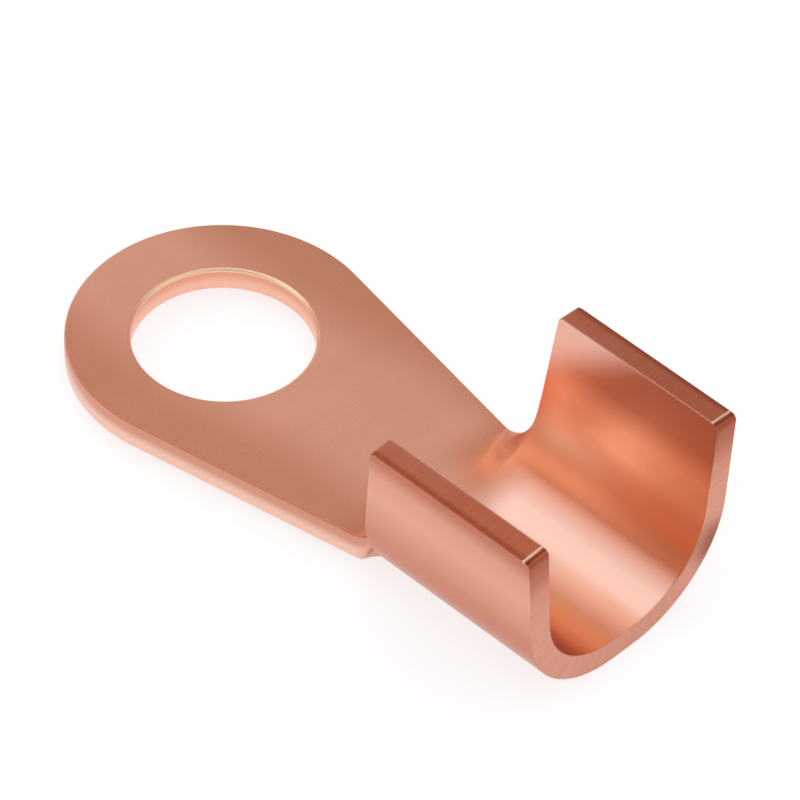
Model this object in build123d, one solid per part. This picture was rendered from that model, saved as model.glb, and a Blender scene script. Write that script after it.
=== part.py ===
from build123d import *
import os
from math import cos, pi, radians, sin, tan

# Cable lug pressed from one sheet: a flat ring tongue with a stud hole, a
# formed neck, and an open channel whose two wings fold over a conductor.
# Millimetres and degrees. The seat face lies on z = 0, the stud hole's centre
# is on the Z axis, and the channel points along +X.

# Sheet and tongue.
sheet = 1.5
stud_hole = 10.5
ring_width = 17.9
side_taper = 10.6
rim_round = 0.3
edge_round = 0.2

# Section of the channel: flat floor, two bends and straight walls.
floor_width = 1.6
bend_radius = 5.4
wall_angle = 86.0
channel_depth = 11.1
floor_drop = 0.86

# Stations between which the channel has its full section.
channel_start = 18.46
channel_end = 30.95

# Outline of the wings and of the notches behind them. The neck is as long as
# a notch.
notch_radius = 1.95
lean_height = 5.0
wing_lean = 5.5
rear_corner = 0.35
front_corner = 0.4

# The neck is pressed from a strip this much too wide, then trimmed.
trim_margin = 0.4

taper = radians(side_taper)
wall = radians(wall_angle)
ring_radius = ring_width / 2
middle_radius = bend_radius + sheet / 2
wall_length = (channel_depth - bend_radius * (1 - cos(wall))) / sin(wall)

# Centre of the notch's arc on the flat blank, x along it and s across it. The
# sheet starts to bend where this arc leaves the tongue's straight side.
notch_x = channel_start - notch_radius
notch_s = (ring_radius + notch_radius - notch_x * sin(taper)) / cos(taper)
neck_start = notch_x - notch_radius * sin(taper)


def formed(x):
    """Share of the bending that is done at a station of the neck, from 0 to 1."""
    u = min(max((x - neck_start) / (channel_start - neck_start), 0.0), 1.0)
    return u * u * (3 - 2 * u)


def sheet_point(x, s, depth):
    """Point of the formed neck: s across the sheet, depth below its top face."""
    half = floor_width / 2
    level = sheet / 2 - floor_drop * formed(x)
    bent = max(abs(s) - half, 0.0)
    turn = bent * formed(x) / middle_radius
    lift = sheet / 2 - depth
    if turn < 1e-9:
        y = abs(s)
        z = level
    else:
        y = half + bent * sin(turn) / turn
        z = level + bent * (1 - cos(turn)) / turn
    side = 1 if s >= 0 else -1
    return Vector(x, side * (y - lift * sin(turn)), z + lift * cos(turn))


def neck_section(x, reach):
    """Closed section of the neck at one station, out to a given half width."""
    half = floor_width / 2
    middle = (half + reach) / 2
    flat = formed(x) < 1e-6

    def side_run(depth, side):
        start = sheet_point(x, side * half, depth)
        end = sheet_point(x, side * reach, depth)
        if flat:
            return Line(start, end)
        return ThreePointArc(start, sheet_point(x, side * middle, depth), end)

    edges = []
    for depth in (0, sheet):
        edges += [side_run(depth, -1), side_run(depth, 1)]
        edges.append(Line(sheet_point(x, -half, depth), sheet_point(x, half, depth)))
    for side in (-1, 1):
        edges.append(Line(sheet_point(x, side * reach, 0), sheet_point(x, side * reach, sheet)))
    return Face(Wire(edges))


def channel_side(depth):
    """Bend and wall on one side of the channel, on a face of the sheet."""
    radius = bend_radius + depth
    centre = sheet - floor_drop + bend_radius

    def on_bend(angle):
        y = floor_width / 2 + radius * sin(angle)
        return Vector(channel_start, y, centre - radius * cos(angle))

    foot = on_bend(wall)
    top = foot + Vector(0, cos(wall), sin(wall)) * wall_length
    return on_bend(0), on_bend(wall / 2), foot, top


def channel_section():
    """Closed section of the channel, at its start."""
    edges = []
    for side in (-1, 1):
        faces = []
        for depth in (0, sheet):
            faces.append([Vector(p.X, side * p.Y, p.Z) for p in channel_side(depth)])
        for start, middle, foot, top in faces:
            edges += [ThreePointArc(start, middle, foot), Line(foot, top)]
        edges.append(Line(faces[0][3], faces[1][3]))
    for depth in (0, sheet):
        right = channel_side(depth)[0]
        edges.append(Line(Vector(right.X, -right.Y, right.Z), right))
    return Face(Wire(edges))


def notch_arc(count):
    """Points of the neck's trimmed edge on the flat blank, as pairs of x and s."""
    points = []
    for i in range(count + 1):
        turn = -taper + (pi / 2 + taper) * i / count
        points.append((notch_x + notch_radius * sin(turn), notch_s - notch_radius * cos(turn)))
    return points


def notch_cutters():
    """Solids whose inner walls stand square on the bent sheet at one notch."""
    curves = []
    risers = []
    for depth in (-sheet, 3 * sheet):
        points = [sheet_point(x, s, depth) for x, s in notch_arc(8)]
        above = sheet_point(channel_start, notch_s + notch_radius, depth)
        lead = Vector(cos(taper), -sin(taper), 0)
        rise = sheet_point(channel_start, notch_s + 0.01, depth) - points[-1]
        curves.append(Spline(points, tangents=[lead, rise.normalized()]))
        risers.append(Line(points[-1], above))
    away = Vector(-1, 1, 0) * ring_radius
    walls = [Face.make_surface_from_curves(*pair) for pair in (curves, risers)]
    return [Solid.extrude(face, away) for face in walls]


def make_tongue():
    """Flat ring with its stud hole, and straight sides that taper to the neck."""
    tangent_x = ring_radius * sin(taper)
    tangent_y = ring_radius * cos(taper)
    neck_half = (ring_radius - neck_start * sin(taper)) / cos(taper)
    sides = Polyline(
        (0, 0),
        (tangent_x, -tangent_y),
        (neck_start, -neck_half),
        (neck_start, neck_half),
        (tangent_x, tangent_y),
        close=True,
    )
    tongue = extrude(Circle(ring_radius) + make_face(sides), amount=sheet)
    rim = tongue.edges().group_by(Axis.Z)[-1].sort_by(Axis.X)[:-1]
    tongue = fillet(rim, edge_round)
    tongue -= Cylinder(stud_hole / 2, 4 * sheet)
    circles = tongue.edges().filter_by(GeomType.CIRCLE).group_by(Axis.Z)[-1]
    return fillet(circles.sort_by(SortBy.RADIUS)[0], rim_round)


def make_neck():
    """Sheet that goes from flat to the channel's bends, trimmed to the notches."""
    steps = 6
    length = channel_start - neck_start
    reach = notch_s + trim_margin
    neck = loft([neck_section(neck_start + length * i / steps, reach) for i in range(steps + 1)])
    for cutter in notch_cutters():
        neck -= cutter
        neck -= mirror(cutter, about=Plane.XZ)
    return neck


def top_corners(solid, x):
    """Edges across the sheet at the wings' top corners near a station."""
    height = solid.bounding_box().max.Z - sheet
    found = []
    for edge in solid.edges().filter_by(GeomType.LINE):
        middle = edge.center()
        if abs(middle.X - x) < sheet / 2 and middle.Z > height and abs(edge.length - sheet) < 0.01:
            found.append(edge)
    return found


def make_channel():
    """Channel with upright wings, their rear edges leaning forward towards the top."""
    channel = extrude(channel_section(), amount=channel_end - channel_start, dir=(1, 0, 0))
    top = channel.bounding_box().max.Z
    above = 2 * top - lean_height
    behind = channel_start - sheet
    lean_run = (top - lean_height) * tan(radians(wing_lean))
    wedge = Polyline(
        (channel_start, lean_height),
        (channel_start + 2 * lean_run, above),
        (behind, above),
        (behind, lean_height),
        close=True,
    )
    channel -= extrude(Plane.XZ * make_face(wedge), amount=ring_width, both=True)
    channel = fillet(top_corners(channel, channel_start + lean_run), rear_corner)
    return fillet(top_corners(channel, channel_end), front_corner)


lug = (make_tongue() + make_neck() + make_channel()).solid()
lug.label = "lug"

os.makedirs("parts", exist_ok=True)
export_step(lug, "parts/lug.step")
print("volume", round(lug.volume, 1), "faces", len(lug.faces()), "valid", lug.is_valid)
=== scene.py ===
from math import ceil, cos, pi, radians, sin, tan

import bmesh
import bpy
from mathutils import Matrix, Vector
from mathutils.geometry import delaunay_2d_cdt
from mathutils.kdtree import KDTree


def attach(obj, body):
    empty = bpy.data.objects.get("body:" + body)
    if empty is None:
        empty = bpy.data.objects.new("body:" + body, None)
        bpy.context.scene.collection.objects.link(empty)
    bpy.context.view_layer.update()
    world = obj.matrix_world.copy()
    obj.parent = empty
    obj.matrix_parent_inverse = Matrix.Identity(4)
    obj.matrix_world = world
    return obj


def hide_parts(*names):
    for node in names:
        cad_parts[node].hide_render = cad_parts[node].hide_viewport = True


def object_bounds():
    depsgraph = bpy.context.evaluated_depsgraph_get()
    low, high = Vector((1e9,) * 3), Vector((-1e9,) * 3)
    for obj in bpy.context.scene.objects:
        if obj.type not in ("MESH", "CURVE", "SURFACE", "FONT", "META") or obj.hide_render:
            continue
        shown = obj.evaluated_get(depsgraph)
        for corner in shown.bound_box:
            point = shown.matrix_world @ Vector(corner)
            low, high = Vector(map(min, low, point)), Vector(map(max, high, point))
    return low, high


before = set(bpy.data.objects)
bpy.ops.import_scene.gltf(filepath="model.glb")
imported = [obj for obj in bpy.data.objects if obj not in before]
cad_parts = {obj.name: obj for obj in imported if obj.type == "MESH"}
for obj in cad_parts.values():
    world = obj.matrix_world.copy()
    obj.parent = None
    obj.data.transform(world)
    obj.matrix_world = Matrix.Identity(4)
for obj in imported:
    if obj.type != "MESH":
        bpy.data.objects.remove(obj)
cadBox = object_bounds()
mm = 0.001
scene = bpy.context.scene


class Val:                                    # a node's output that can be used in sums
    def __init__(self, tree, socket):
        self.tree = tree
        self.socket = socket

    def __add__(self, other):
        return self.tree.maths("ADD", self, other)

    def __sub__(self, other):
        return self.tree.maths("SUBTRACT", self, other)

    def __rsub__(self, other):
        return self.tree.maths("SUBTRACT", other, self)

    def __mul__(self, other):
        return self.tree.maths("MULTIPLY", self, other)

    def __truediv__(self, other):
        return self.tree.maths("DIVIDE", self, other)

    def __pow__(self, other):
        return self.tree.maths("POWER", self, other)

    def __abs__(self):
        return self.tree.maths("ABSOLUTE", self)

    __radd__ = __add__
    __rmul__ = __mul__


class Tree:                                   # adds nodes to a material's or a modifier's tree
    def __init__(self, nodeTree):
        self.nodeTree = nodeTree
        nodeTree.nodes.clear()

    def add(self, kind, settings=None, sockets=None, out=0):
        node = self.nodeTree.nodes.new(kind)
        for name, value in (settings or {}).items():
            if name == "stops":
                self.setStops(node.color_ramp, value)
            else:
                setattr(node, name, value)
        for name, value in (sockets or {}).items():
            if isinstance(value, Val):
                self.nodeTree.links.new(value.socket, node.inputs[name])
            else:
                node.inputs[name].default_value = value
        return Val(self, node.outputs[out]) if node.outputs else node

    def setStops(self, ramp, stops):
        while len(ramp.elements) < len(stops):
            ramp.elements.new(0.5)
        for element, (place, colour) in zip(ramp.elements, stops):
            element.position = place
            element.color = colour

    def maths(self, operation, *values):
        return self.add("ShaderNodeMath", {"operation": operation}, dict(enumerate(values)))

    def split(self, vector):                  # the x, y and z of a vector
        node = self.add("ShaderNodeSeparateXYZ", sockets={0: vector}).socket.node
        return [Val(self, socket) for socket in node.outputs]

    def ease(self, value, start, end, first=0.0, last=1.0):
        sockets = {0: value, 1: start, 2: end, 3: first, 4: last}
        return self.add("ShaderNodeMapRange", {"interpolation_type": "SMOOTHSTEP"}, sockets)

    def mix(self, factor, a, b, blend="MIX"):
        settings = {"data_type": "RGBA", "blend_type": blend}
        return self.add("ShaderNodeMix", settings, {0: factor, 6: a, 7: b}, out=2)

    def noise(self, vector, scale, detail, roughness):
        sockets = {"Vector": vector, "Scale": scale, "Detail": detail, "Roughness": roughness}
        return self.add("ShaderNodeTexNoise", sockets=sockets)


def linear(colour):                           # a screen colour given in 0 to 255, as shaders take it
    def one(value):
        value /= 255
        return value / 12.92 if value <= 0.04045 else ((value + 0.055) / 1.055) ** 2.4
    return *(one(value) for value in colour), 1.0


# the lug's sizes in mm and degrees
lug = {
    "sheet": 1.5,
    "studHole": 10.5,
    "ringWidth": 17.9,
    "sideTaper": 10.6,
    "floorWidth": 1.6,
    "bendRadius": 5.4,
    "wallAngle": 86.0,
    "channelDepth": 11.1,
    "floorDrop": 0.86,
    "sinkStart": 15.0,                        # the floor's middle sinks more slowly than the sides turn up
    "sinkEnd": 20.2,
    "channelStart": 18.46,
    "channelEnd": 30.95,
    "notchRadius": 1.95,
    "leanHeight": 5.0,
    "wingLean": 5.5,
    "rearCorner": 0.35,
    "frontCorner": 0.4,
    "edgeRound": 0.06,                        # upper edge all round the sheet
    "underRound": 0.05,
    "holeRound": 0.14,
    "holeUnderRound": 0.1,
    "edgeStrip": 0.07,                        # flat strip beside each rounded edge
    "roundSteps": 5,                          # faces over the upper round, and over the lower one
    "underSteps": 4,
    "wallShares": (0.06, 0.5, 0.94),          # rows of the sheet's edge between the two rounds
    "gridStep": 0.42,                         # mesh of the flat faces
    "gridClear": 0.6,                         # steps of it that stay free beside the edges
    "neckStep": 0.16,                         # the same mesh along the neck
    "edgeStep": 0.25,                         # mesh along the edges
    "cornerSteps": 7,
}
taper = radians(lug["sideTaper"])
wall = radians(lug["wallAngle"])
ringRadius = lug["ringWidth"] / 2
middleRadius = lug["bendRadius"] + lug["sheet"] / 2
wallLength = (lug["channelDepth"] - lug["bendRadius"] * (1 - cos(wall))) / sin(wall)
notchX = lug["channelStart"] - lug["notchRadius"]
notchS = (ringRadius + lug["notchRadius"] - notchX * sin(taper)) / cos(taper)
neckStart = notchX - lug["notchRadius"] * sin(taper)
wingTop = lug["floorWidth"] / 2 + middleRadius * wall + wallLength     # half width of the flat blank
tiny = 1e-4


def wingRear(s):                              # rear edge of the wing, which leans forward
    half = lug["floorWidth"] / 2
    foot = half + middleRadius * wall
    level = lug["sheet"] / 2 - lug["floorDrop"] + middleRadius
    if s < foot:
        height = level - middleRadius * cos((s - half) / middleRadius)
    else:
        height = level - middleRadius * cos(wall) + (s - foot) * sin(wall)
    return lug["channelStart"] + max(height - lug["leanHeight"], 0.0) * tan(radians(lug["wingLean"]))


def arc(centre, radius, start, end):
    count = max(lug["cornerSteps"], ceil(radius * abs(end - start) / lug["edgeStep"]))
    angles = [start + (end - start) * i / count for i in range(count + 1)]
    return [Vector((centre[0] + radius * cos(a), centre[1] + radius * sin(a))) for a in angles]


def run(start, end):
    start, end = Vector(start), Vector(end)
    count = max(1, ceil((end - start).length / lug["edgeStep"]))
    return [start.lerp(end, i / count) for i in range(count + 1)]


def blankOutline():                           # x along the lug and s across the flat sheet
    front, corner, rear = lug["channelEnd"], lug["frontCorner"], lug["rearCorner"]
    lean = radians(lug["wingLean"])
    cornerX = wingRear(wingTop - rear) + rear / cos(lean)
    half = run((front, 0), (front, wingTop - corner))
    half += arc((front - corner, wingTop - corner), corner, 0, pi / 2)
    half += run((front - corner, wingTop), (cornerX, wingTop))
    half += arc((cornerX, wingTop - rear), rear, pi / 2, pi - lean)
    half += [Vector((wingRear(p.y), p.y)) for p in run((0, half[-1].y), (0, notchS))]
    half += arc((notchX, notchS), lug["notchRadius"], 0, -pi / 2 - taper)
    half += run(half[-1], (ringRadius * sin(taper), ringRadius * cos(taper)))
    half += arc((0, 0), ringRadius, pi / 2 - taper, pi)
    loop = []
    for point in half + [Vector((p.x, -p.y)) for p in reversed(half)]:
        if not loop or (point - loop[-1]).length > tiny:
            loop.append(point)
    if (loop[0] - loop[-1]).length < tiny:
        loop.pop()
    return loop


def holeOutline():                            # the other way round, as the sheet is outside it
    count = ceil(pi * lug["studHole"] / lug["edgeStep"])
    turns = [2 * pi * i / count for i in range(count)]
    return [Vector((cos(a), -sin(a))) * lug["studHole"] / 2 for a in turns]


def inward(loop):                             # unit normals that point into the sheet
    normals = []
    for i, point in enumerate(loop):
        ahead = (loop[(i + 1) % len(loop)] - loop[i - 1]).normalized()
        normals.append(Vector((-ahead.y, ahead.x)))
    return normals


def edgeProfile(topRound, underRound):        # pairs of inset and depth from top to underside
    rows = [(topRound + lug["edgeStrip"], 0.0)]
    for i in range(lug["roundSteps"] + 1):
        a = pi / 2 * i / lug["roundSteps"]
        rows.append((topRound * (1 - sin(a)), topRound * (1 - cos(a))))
    depth = lug["sheet"] - underRound
    rows += [(0.0, topRound + (depth - topRound) * share) for share in lug["wallShares"]]
    for i in range(lug["underSteps"] + 1):
        a = pi / 2 * i / lug["underSteps"]
        rows.append((underRound * (1 - cos(a)), depth + underRound * sin(a)))
    rows.append((underRound + lug["edgeStrip"], lug["sheet"]))
    return rows


def gridPoints(nearest, holeBorder):          # grid of the flat faces, closer along the neck
    step = lug["gridStep"]
    width = ceil(wingTop / step)
    points = []
    x = -ringRadius
    while x < lug["channelEnd"]:
        for j in range(-width, width + 1):
            point = Vector((x, j * step))
            if nearest.find((*point, 0))[2] > lug["gridClear"] * step and point.length > holeBorder:
                points.append(point)
        inNeck = lug["sinkStart"] - step < x < lug["sinkEnd"] + step
        x += lug["neckStep"] if inNeck else step
    return points


def fillFaces(border, outlineCount, grid):    # faces of the flat sheet, as rows of point numbers
    holeCount = len(border) - outlineCount
    edges = [(i, (i + 1) % outlineCount) for i in range(outlineCount)]
    edges += [(outlineCount + i, outlineCount + (i + 1) % holeCount) for i in range(holeCount)]
    insideOnly, same = 1, 1e-6
    made = delaunay_2d_cdt(border + grid, edges, [], insideOnly, same)
    points, faces, origins = made[0], made[2], made[3]
    onBorder = {i: k for i, source in enumerate(origins) for k in source if k < len(border)}
    faces = [f for f in faces if any(onBorder.get(i, 0) < outlineCount for i in f)]   # not over the hole
    return points, faces, onBorder


def limit(value):                             # to between 0 and 1
    return min(max(value, 0.0), 1.0)


def makeBlank():                              # the flat sheet with its rounded edges
    outlineProfile = edgeProfile(lug["edgeRound"], lug["underRound"])
    holeProfile = edgeProfile(lug["holeRound"], lug["holeUnderRound"])
    rings = []
    for loop, profile in ((blankOutline(), outlineProfile), (holeOutline(), holeProfile)):
        rows = []
        for point, normal in zip(loop, inward(loop)):
            rows.append([(point + normal * inset, depth) for inset, depth in profile])
        rings.append(rows)
    border = [row[0][0] for rows in rings for row in rows]
    nearest = KDTree(len(border))
    for i, point in enumerate(border):
        nearest.insert((*point, 0), i)
    nearest.balance()
    grid = gridPoints(nearest, border[-1].length)
    points, faces, onBorder = fillFaces(border, len(rings[0]), grid)

    mesh = bmesh.new()
    uv = mesh.loops.layers.uv.new("grain")
    notes = {name: mesh.verts.layers.float.new(name) for name in ("cut", "rim", "across", "deep")}

    def addVertex(point, depth, onCut, fromEdge):
        vertex = mesh.verts.new((point.x * mm, point.y * mm, (lug["sheet"] - depth) * mm))
        values = {"cut": onCut, "rim": fromEdge, "across": abs(point.y), "deep": depth / lug["sheet"]}
        for name, value in values.items():
            vertex[notes[name]] = value
        return vertex

    walls = []                                # columns of vertices from the top to the underside
    for rows in rings:
        columns = []
        for row in rows:
            column = []
            for k, (point, depth) in enumerate(row):
                onCut = limit((k - 1) / (lug["roundSteps"] - 1))
                onCut *= limit((len(row) - 2 - k) / (lug["underSteps"] - 1))
                column.append(addVertex(point, depth, onCut, outlineProfile[k][0]))
            columns.append(column)
        walls.append(columns)

    borderColumns = walls[0] + walls[1]
    flatWithin, squareWithin = 0.1, radians(50)                            # for joining triangles in twos
    for level, depth, turn in ((0, 0.0, 1), (-1, lug["sheet"], -1)):       # upper face and underside
        vertices = {}
        for i in sorted({i for f in faces for i in f}):
            if i in onBorder:
                vertices[i] = borderColumns[onBorder[i]][level]
            else:
                vertices[i] = addVertex(points[i], depth, 0.0, nearest.find((*points[i], 0))[2])
        flat = [mesh.faces.new([vertices[i] for i in f][::turn]) for f in faces]
        bmesh.ops.join_triangles(
            mesh, faces=flat, angle_face_threshold=flatWithin, angle_shape_threshold=squareWithin)
    for face in mesh.faces:
        for corner in face.loops:
            corner[uv].uv = (corner.vert.co.x / mm, corner.vert.co.y / mm)

    middle = lug["roundSteps"]
    wallFaces = range(3, len(outlineProfile) - 4)        # from the middle of one round to that of the other
    for columns in walls:
        length = 0.0
        for i, column in enumerate(columns):
            after = columns[(i + 1) % len(columns)]
            gap = (after[middle].co - column[middle].co).length / mm
            for k in range(len(column) - 1):
                face = mesh.faces.new((column[k], column[k + 1], after[k + 1], after[k]))
                for corner in face.loops:
                    if k in wallFaces:
                        along = length + gap * (corner.vert in (after[k], after[k + 1]))
                        corner[uv].uv = (along, lug["sheet"] - corner.vert.co.z / mm)
                    else:
                        corner[uv].uv = (corner.vert.co.x / mm, corner.vert.co.y / mm)
            length += gap
    bmesh.ops.recalc_face_normals(mesh, faces=mesh.faces)
    for face in mesh.faces:
        face.smooth = True
    data = bpy.data.meshes.new("blank")
    mesh.to_mesh(data)
    mesh.free()
    return data


def makeFormingTree():                        # bends a flat sheet into the neck and channel
    group = bpy.data.node_groups.new("formSheet", "GeometryNodeTree")
    kinds = {"Geometry": "NodeSocketGeometry"}
    for name in (
            "Sheet", "Floor Width", "Bend Radius", "Wall Angle", "Floor Drop",
            "Neck Start", "Channel Start", "Sink Start", "Sink End"):
        kinds[name] = "NodeSocketFloat"
    kinds["Material"] = "NodeSocketMaterial"
    ids = {}
    for name, kind in kinds.items():
        ids[name] = group.interface.new_socket(name, in_out="INPUT", socket_type=kind).identifier
    group.interface.new_socket("Geometry", in_out="OUTPUT", socket_type="NodeSocketGeometry")
    tree = Tree(group)
    entry = tree.add("NodeGroupInput").socket.node
    given = {name: Val(tree, entry.outputs[name]) for name in kinds}
    x, y, z = tree.split(tree.add("GeometryNodeInputPosition"))

    formed = tree.ease(x, given["Neck Start"], given["Channel Start"])
    radius = given["Bend Radius"] + given["Sheet"] / 2
    half = given["Floor Width"] / 2
    width = abs(y)
    bent = tree.maths("MAXIMUM", width - half, 0.0)
    onBend = tree.maths("MINIMUM", bent, radius * given["Wall Angle"])
    leastTurn = 1e-5                          # keeps the flat part out of a division by nothing
    turn = tree.maths("MAXIMUM", onBend * formed / radius, leastTurn)
    sine, cosine = tree.maths("SINE", turn), tree.maths("COSINE", turn)
    halfSine = tree.maths("SINE", turn / 2)
    beyond = bent - onBend
    out = tree.maths("MINIMUM", width, half) + onBend * sine / turn + beyond * cosine
    sunk = tree.ease(x, given["Sink Start"], given["Sink End"])
    aside = tree.ease(width, half, radius)
    up = given["Sheet"] / 2 - given["Floor Drop"] * (sunk + aside * (formed - sunk))
    up = up + 2 * onBend * halfSine * halfSine / turn + beyond * sine
    lift = z - given["Sheet"] / 2
    side = tree.maths("SIGN", y)
    moved = tree.add("ShaderNodeCombineXYZ", sockets={
        0: x,
        1: side * (out - lift * sine),
        2: up + lift * cosine,
    })
    shape = tree.add("GeometryNodeSetPosition", sockets={"Geometry": given["Geometry"], "Position": moved})
    shape = tree.add("GeometryNodeRealizeInstances", sockets={0: shape})
    shape = tree.add("GeometryNodeSetMaterial", sockets={"Geometry": shape, "Material": given["Material"]})
    tree.add("NodeGroupOutput", sockets={0: shape})
    return group, ids


def formLug(material):
    flat = bpy.data.objects.new("flatSheet", makeBlank())
    scene.collection.objects.link(flat)
    group, ids = makeFormingTree()
    press = flat.modifiers.new("formSheet", "NODES")
    press.node_group = group
    values = {
        "Sheet": lug["sheet"] * mm,
        "Floor Width": lug["floorWidth"] * mm,
        "Bend Radius": lug["bendRadius"] * mm,
        "Wall Angle": wall,
        "Floor Drop": lug["floorDrop"] * mm,
        "Neck Start": neckStart * mm,
        "Channel Start": lug["channelStart"] * mm,
        "Sink Start": lug["sinkStart"] * mm,
        "Sink End": lug["sinkEnd"] * mm,
        "Material": material,
    }
    for name, value in values.items():
        press[ids[name]] = value
    graph = bpy.context.evaluated_depsgraph_get()
    shaped = bpy.data.meshes.new_from_object(
        flat.evaluated_get(graph), preserve_all_data_layers=True, depsgraph=graph)
    bpy.data.objects.remove(flat)
    shaped.name = "formedLug"
    formed = bpy.data.objects.new("formedLug", shaped)
    scene.collection.objects.link(formed)
    return formed


# The copper's colours, with painted reflections, highlights and shade in them, and its finish. Colours are
# in 0 to 255 and lengths in mm. A pair such as tongueFade says where a colour starts to give way and where
# the next one is full.
copper = {
    # painted shade: the tongue is darker towards its sides than in its lighter middle
    "tongue": (236, 167, 142),
    "tongueSide": (216, 144, 116),
    "tongueFade": (2.5, 7.0),                 # distance from the tongue's lighter middle to its sides in painted shade
    "tongueDrift": 1.5,                       # how far that middle moves to one side
    "driftAlong": (0.0, 12.0),
    # painted shade: darker orange inside the neck
    "neck": (216, 130, 96),
    "neckAlong": (14.0, 17.5),
    "neckAcross": (0.5, 3.5),
    "inside": [                               # distance from the middle line along the sheet, colour; painted reflections as light and dark bands
        (0, (250, 208, 190)), (3.2, (248, 201, 184)), (5.2, (188, 110, 80)),
        (7, (234, 145, 107)), (9.8, (255, 211, 178)), (11.4, (250, 195, 162)),
        (13.4, (204, 140, 112)), (15.8, (197, 136, 110))],
    "insideAlong": (17.4, 20.4),
    # painted reflections and shade: lighter and darker bands along the wings' outside
    "outside": [
        (0, (204, 128, 98)), (8.3, (196, 104, 70)), (10.5, (211, 144, 119)),
        (12.8, (227, 163, 138)), (14.5, (220, 154, 129)), (15.7, (192, 113, 88))],
    "outsideDeep": (0.1, 0.9),                # share of the sheet's thickness
    # the channel's sawn edges by distance across, darker towards the wing tops in painted shade
    "cut": [
        (0, (210, 144, 121)), (11, (214, 148, 126)), (13, (208, 138, 115)),
        (14.3, (188, 110, 83)), (15.8, (164, 84, 59))],
    "channelShade": (230, 201, 178),              # painted shade over the channel's floor on one side
    "channelShadeSide": (1.0, -0.8),
    "channelShadeAlong": (20.0, 23.0),
    "channelShadeAcross": (6.5, 3.5),
    "rearHighlight": (255, 226, 214),             # painted highlight, pale in the corner inside each wing
    "patchRear": 19.1,
    "patchSlope": 0.7,
    "patchAcross": (11.2, 14.4),
    "patchAlong": (18.0, 19.0),
    "patchDull": 0.45,                        # how much less metallic the painted highlight looks
    "edgeTop": (214, 148, 126),               # the sheet's edge round the tongue, from top to underside, lighter low down as a painted reflection
    "edgeLow": (242, 197, 180),
    "edgeDeep": (0.2, 0.7),
    # painted shade and reflection: the hole's wall darker at the top and lighter low down
    "holeTop": (230, 162, 132),
    "holeLow": (248, 190, 168),
    "holeReach": (0.8, 0.4),                  # beyond the hole's wall
    # painted highlight along the hole's upper rim
    "holeRim": (255, 218, 182),
    "holeRimMix": 0.85,
    "rimInset": (0.125, 0.07),
    "rimDeep": (0.16, 0.1),
    "rimTurn": (1.5, 5.5),                    # y - x, so the rim shines at the back of the hole
    "rimDull": 0.2,
    "bendShade": (156, 82, 62),               # on the channel's end, at one bend
    "shadeMiddle": 7.5,
    "shadeReach": (2.1, 0.2),
    "shadeSide": (2.0, 4.0),
    "shadeDeep": (0.0, 0.8, 0.5, 0.95),
    # painted shade: the wing tops darker, darkest on their outer side
    "wingTop": (184, 102, 75),
    "wingTopOuter": (158, 80, 56),
    "wingTopDeep": (0.66, 0.9),
    "wingTopReach": 0.2,
    # painted highlight and painted shade lines on the wing tops' front corners and inner rims
    "rimLine": (252, 212, 188),
    "cornerLine": (132, 64, 44),
    "lines": {"rimLine": 0.48, "cornerLine": 0.26},        # across the wing tops, back from the front: a painted highlight line and a painted dark line
    "lineWidth": (0.12, 0.02),
    "lineMix": 0.8,
    "innerRimInset": (0.14, 0.02),
    "innerRimDeep": (0.1, 0.03),
    "innerRimAcross": (9.0, 10.5),
    "innerRimEnd": (0.3, 0.8),                # back from the front
    "innerRimMix": (-3.0, 3.0, 0.3, 0.1),     # from one wing to the other
    "roughness": 0.27,
    "channelRoughness": 0.36,
    "cutRoughness": 0.34,
    "grain": (9.0, 0.35, 3.0, 0.6),           # streaks: per mm along and across, detail, raggedness
    "scratch": (2.3, 0.12, 2.0, 0.5),
    "saw": (5.0, 0.3, 2.0, 0.6),
    "cloud": (0.22, 3.0, 0.5),                # patches: per mm, detail, raggedness
    "speck": (5.0, 2.0, 0.6),
    "shades": {"grain": 0.035, "scratch": 0.04, "saw": 0.3, "speck": 0.012, "cloud": 0.05},
    "roughShades": {"cloud": 0.06, "grain": 0.05},
    "heights": {"grain": 0.6, "cutGrain": 0.8, "scratch": 0.5},
    "grainHeight": 0.0002,
    "calm": 0.9,                              # share of the texture that the smooth channel loses
    "calmDeep": 0.15,
}


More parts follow.
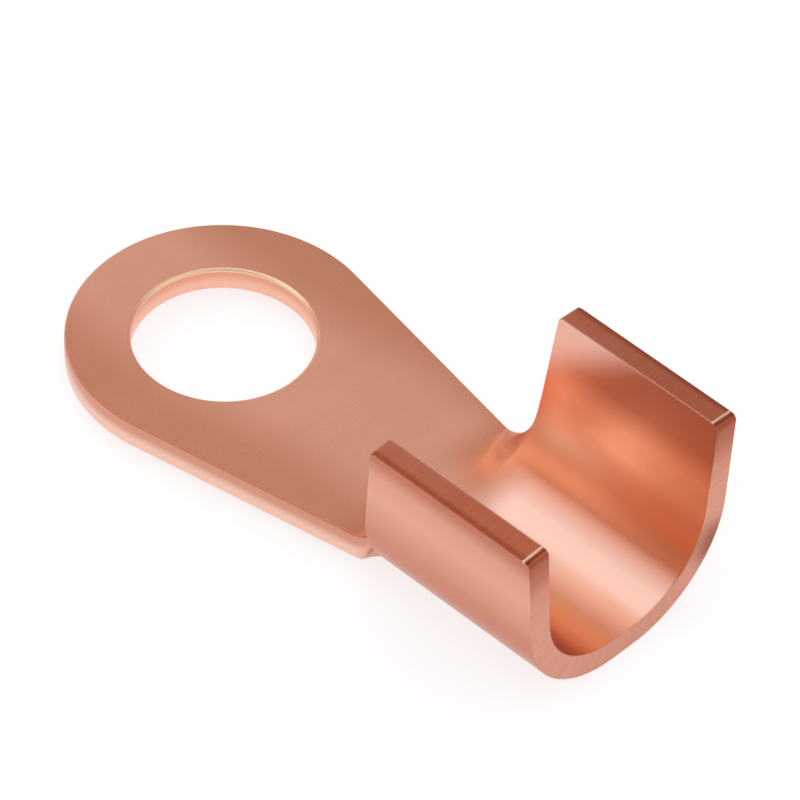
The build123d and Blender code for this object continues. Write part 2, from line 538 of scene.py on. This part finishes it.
def makeCopper():
    material = bpy.data.materials.new("satinCopper")
    material.use_nodes = True
    tree = Tree(material.node_tree)
    place = tree.add("ShaderNodeTexCoord", out="Object")
    place = tree.add("ShaderNodeVectorMath", {"operation": "SCALE"}, {0: place, "Scale": 1 / mm})
    x, y = tree.split(place)[:2]
    flat = tree.add("ShaderNodeUVMap", {"uv_map": "grain"})
    cut, rim, across, deep = (
        tree.add("ShaderNodeAttribute", {"attribute_name": name}, out="Fac")
        for name in ("cut", "rim", "across", "deep"))

    def tint(name):
        return linear(copper[name])

    def fade(value, name):
        return tree.ease(value, *copper[name])

    def bands(name):
        reach = copper[name][-1][0]
        stops = [(distance / reach, linear(colour)) for distance, colour in copper[name]]
        return tree.add("ShaderNodeValToRGB", {"stops": stops}, {"Fac": across / reach})

    def streaks(name):
        along, over, detail, ragged = copper[name]
        spot = tree.add("ShaderNodeMapping", sockets={"Vector": flat, "Scale": (along, over, 1)})
        return tree.noise(spot, 1.0, detail, ragged)

    textures = {name: streaks(name) for name in ("grain", "scratch", "saw")}
    textures.update({name: tree.noise(place, *copper[name]) for name in ("cloud", "speck")})

    def swings(name):                         # textures that add as much as they take away
        return {kind: (textures[kind] - 0.5) * weight for kind, weight in copper[name].items()}

    # upper face and underside
    inChannel = tree.ease(x, neckStart, lug["channelStart"])
    # painted shade: the tongue darker towards its sides, its lighter middle drifting to one side
    off = abs(y - fade(x, "driftAlong") * copper["tongueDrift"])
    tongue = tree.mix(fade(off, "tongueFade"), tint("tongue"), tint("tongueSide"))
    # painted shade: darker orange inside the neck
    inside = tree.mix(fade(x, "neckAlong") * fade(across, "neckAcross"), tongue, tint("neck"))
    # painted reflections: light and dark bands along the channel's inside
    inside = tree.mix(fade(x, "insideAlong"), inside, bands("inside"))
    # painted reflections and shade: lighter and darker bands along the wings' outside
    outside = tree.mix(inChannel, tongue, bands("outside"))
    # painted shade over one side of the channel's floor
    channelShaded = fade(y, "channelShadeSide") * fade(x, "channelShadeAlong") * fade(across, "channelShadeAcross")
    inside = tree.mix(channelShaded, inside, tint("channelShade"), "MULTIPLY")
    # painted highlight, pale in the rear corner inside each wing
    rearShine = fade(across - (x - copper["patchRear"]) * copper["patchSlope"], "patchAcross")
    rearShine = rearShine * fade(x, "patchAlong")
    inside = tree.mix(rearShine, inside, tint("rearHighlight"))
    base = tree.mix(fade(deep, "outsideDeep"), inside, outside)

    # edges of the sheet
    fromWall = (x * x + y * y) ** 0.5 - lug["studHole"] / 2
    inHole = fade(fromWall, "holeReach")
    low = fade(deep, "edgeDeep")
    # painted reflection: the tongue's edge lighter towards the underside
    edge = tree.mix(low, tint("edgeTop"), tint("edgeLow"))
    # painted shade and reflection: the hole's wall darker at the top and lighter low down
    edge = tree.mix(inHole, edge, tree.mix(low, tint("holeTop"), tint("holeLow")))
    atBend = fade(abs(across - copper["shadeMiddle"]), "shadeReach") * fade(y, "shadeSide")
    # the channel's sawn edges, darker towards the wing tops in painted shade, and the bend's shade
    sawn = tree.mix(atBend * fade(deep, "shadeDeep"), bands("cut"), tint("bendShade"))
    base = tree.mix(cut, base, tree.mix(inChannel, edge, sawn))
    # painted highlight on the hole's upper rim, at the back
    shine = fade(rim, "rimInset") * fade(deep, "rimDeep") * inHole * fade(y - x, "rimTurn")
    base = tree.mix(shine * copper["holeRimMix"], base, tint("holeRim"))

    # wing tops in painted shade, and the painted highlight and dark lines on them and on their inner rims
    top = tree.mix(fade(deep, "wingTopDeep"), tint("wingTop"), tint("wingTopOuter"))
    onTop = tree.ease(across, wingTop - copper["wingTopReach"], wingTop)
    base = tree.mix(cut * onTop, base, top)
    fromFront = lug["channelEnd"] - x
    for name, back in copper["lines"].items():
        onLine = onTop * fade(abs(fromFront - back), "lineWidth")
        base = tree.mix(onLine * copper["lineMix"], base, tint(name))
    # painted highlight along one wing's inner rim near the front
    innerRim = fade(rim, "innerRimInset") * fade(deep, "innerRimDeep") * fade(across, "innerRimAcross")
    innerRim = innerRim * fade(fromFront, "innerRimEnd") * fade(y, "innerRimMix")
    base = tree.mix(innerRim, base, tint("rimLine"))

    # grain, scratches, saw marks and clouds
    calm = 1 - inChannel * (1 - cut) * (copper["calm"] - deep * copper["calmDeep"])
    shades = swings("shades")
    fine = shades["grain"] + cut * inChannel * shades["saw"] + shades["scratch"] + shades["speck"]
    shade = 1 + calm * fine + shades["cloud"]
    grey = tree.add("ShaderNodeCombineXYZ", sockets={0: shade, 1: shade, 2: shade})
    base = tree.mix(1.0, base, grey, "MULTIPLY")

    uneven = swings("roughShades")
    rough = copper["roughness"] + calm * (uneven["cloud"] + uneven["grain"])
    rough = rough + cut * (copper["cutRoughness"] - copper["roughness"])
    smooth = inChannel * (1 - cut) * (1 - deep)
    rough = rough + smooth * (copper["channelRoughness"] - copper["roughness"])
    heights = copper["heights"]
    height = textures["grain"] * (heights["grain"] + cut * heights["cutGrain"])
    height = (height + textures["scratch"] * heights["scratch"]) * calm
    bump = tree.add("ShaderNodeBump", sockets={"Height": height, "Distance": copper["grainHeight"] * mm})
    shader = tree.add("ShaderNodeBsdfPrincipled", sockets={
        "Base Color": base,
        # the painted highlights in the wings' corners and on the hole's rim are less metallic
        "Metallic": 1 - rearShine * (1 - deep) * copper["patchDull"] - shine * copper["rimDull"],
        "Roughness": rough,
        "Normal": bump,
    })
    tree.add("ShaderNodeOutputMaterial", sockets={"Surface": shader})
    return material


camera = {                                    # angles in degrees, lengths in mm
    "azimuth": 42.80,
    "elevation": 44.86,
    "roll": 2.113,
    "target": (11.666, 2.159, 3.137),
    "distance": 436.17,
    "lens": 354.10,
    "sensor": 36,
    "clip": (10, 20000),
}


def placeCamera():
    a, e, r = (radians(camera[name]) for name in ("azimuth", "elevation", "roll"))
    back = Vector((sin(a) * cos(e), -cos(a) * cos(e), sin(e)))
    level = Vector((cos(a), sin(a), 0))
    right = level * cos(r) + back.cross(level) * sin(r)
    up = back.cross(right)
    data = bpy.data.cameras.new("camera")
    data.lens = camera["lens"]
    data.sensor_width = camera["sensor"]
    data.clip_start, data.clip_end = (distance * mm for distance in camera["clip"])
    view = bpy.data.objects.new("camera", data)
    scene.collection.objects.link(view)
    place = (Vector(camera["target"]) + back * camera["distance"]) * mm
    view.matrix_world = Matrix.Translation(place) @ Matrix((right, up, back)).transposed().to_4x4()
    scene.camera = view


studio = {                                    # brightness as radiance, angles in degrees, lengths in metres
    "world": 0.34,
    "horizon": 0.8,                           # the world is brighter low down, as round a pale backdrop
    "climb": (0.15, 0.8),                     # height, of 1 overhead, over which it gets darker
    "floor": 0.33,                            # colour of the floor
    "floorGlow": 0.77,                        # white that the eye and the metal see in it
    "floorSize": 1.6,
    "away": 0.6,                              # distance of the lamps from the point that they face
    "facing": (0.012, 0, 0),
    "lamps": {                                # azimuth, elevation, width, height, brightness
        "back": (184, 61, 0.52, 0.34, 0.75),
        "corner": (230, 37, 0.42, 0.36, 1.15),
        "side": (118, 50, 0.7, 0.5, 0.28),
        "top": (80, 80, 0.4, 0.4, 0.3),
        "front": (-62, 66, 0.5, 0.4, 0.3),
        "fill": (50, 35, 0.5, 0.4, 0.15),
        "low": (172, 30, 0.5, 0.28, 0.42),
        "mouth": (8, 40, 0.5, 0.34, 0.85),
    },
}


def lightWorld():
    world = bpy.data.worlds.new("studio")
    scene.world = world
    world.use_nodes = True
    tree = Tree(world.node_tree)
    height = tree.split(tree.add("ShaderNodeTexCoord", out="Generated"))[2]
    strength = tree.ease(height, *studio["climb"], studio["horizon"], studio["world"])
    glow = tree.add("ShaderNodeBackground", sockets={"Color": (1, 1, 1, 1), "Strength": strength})
    tree.add("ShaderNodeOutputWorld", sockets={"Surface": glow})


def hangLamps():
    for name, (azimuth, elevation, width, height, glow) in studio["lamps"].items():
        data = bpy.data.lights.new(name, "AREA")
        data.shape = "RECTANGLE"
        data.size, data.size_y = width, height
        data.energy = glow * pi * width * height
        lamp = bpy.data.objects.new(name, data)
        lamp.visible_camera = False
        scene.collection.objects.link(lamp)
        turn, climb = radians(azimuth), radians(elevation)
        aim = Vector((cos(turn) * cos(climb), sin(turn) * cos(climb), sin(climb)))
        lamp.location = Vector(studio["facing"]) + aim * studio["away"]
        lamp.rotation_euler = aim.to_track_quat("Z", "Y").to_euler()


def layFloor():
    low = min(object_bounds()[0][2], cadBox[0][2])
    size = studio["floorSize"]
    corners = [(-size, -size, low), (size, -size, low), (size, size, low), (-size, size, low)]
    data = bpy.data.meshes.new("floor")
    data.from_pydata(corners, [], [(0, 1, 2, 3)])
    floor = bpy.data.objects.new("floor", data)
    scene.collection.objects.link(floor)
    material = bpy.data.materials.new("paleFloor")
    material.use_nodes = True
    tree = Tree(material.node_tree)
    level = studio["floor"]
    paper = tree.add("ShaderNodeBsdfDiffuse", sockets={"Color": (level, level, level, 1)})
    path = tree.add("ShaderNodeLightPath").socket.node
    seen = Val(tree, path.outputs["Is Camera Ray"])
    for name in ("Is Glossy Ray", "Is Transmission Ray"):
        seen = tree.maths("MAXIMUM", seen, Val(tree, path.outputs[name]))
    white = tree.add("ShaderNodeEmission", sockets={"Strength": seen * studio["floorGlow"]})
    surface = tree.add("ShaderNodeAddShader", sockets={0: paper, 1: white})
    tree.add("ShaderNodeOutputMaterial", sockets={"Surface": surface})
    data.materials.append(material)


placeCamera()
print("camera placed")
lugPiece = formLug(makeCopper())
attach(lugPiece, "root")
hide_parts("lug")
print("lug formed:", len(lugPiece.data.polygons), "faces")
lightWorld()
hangLamps()
layFloor()
print("studio lit")
scene.view_settings.view_transform = "Standard"
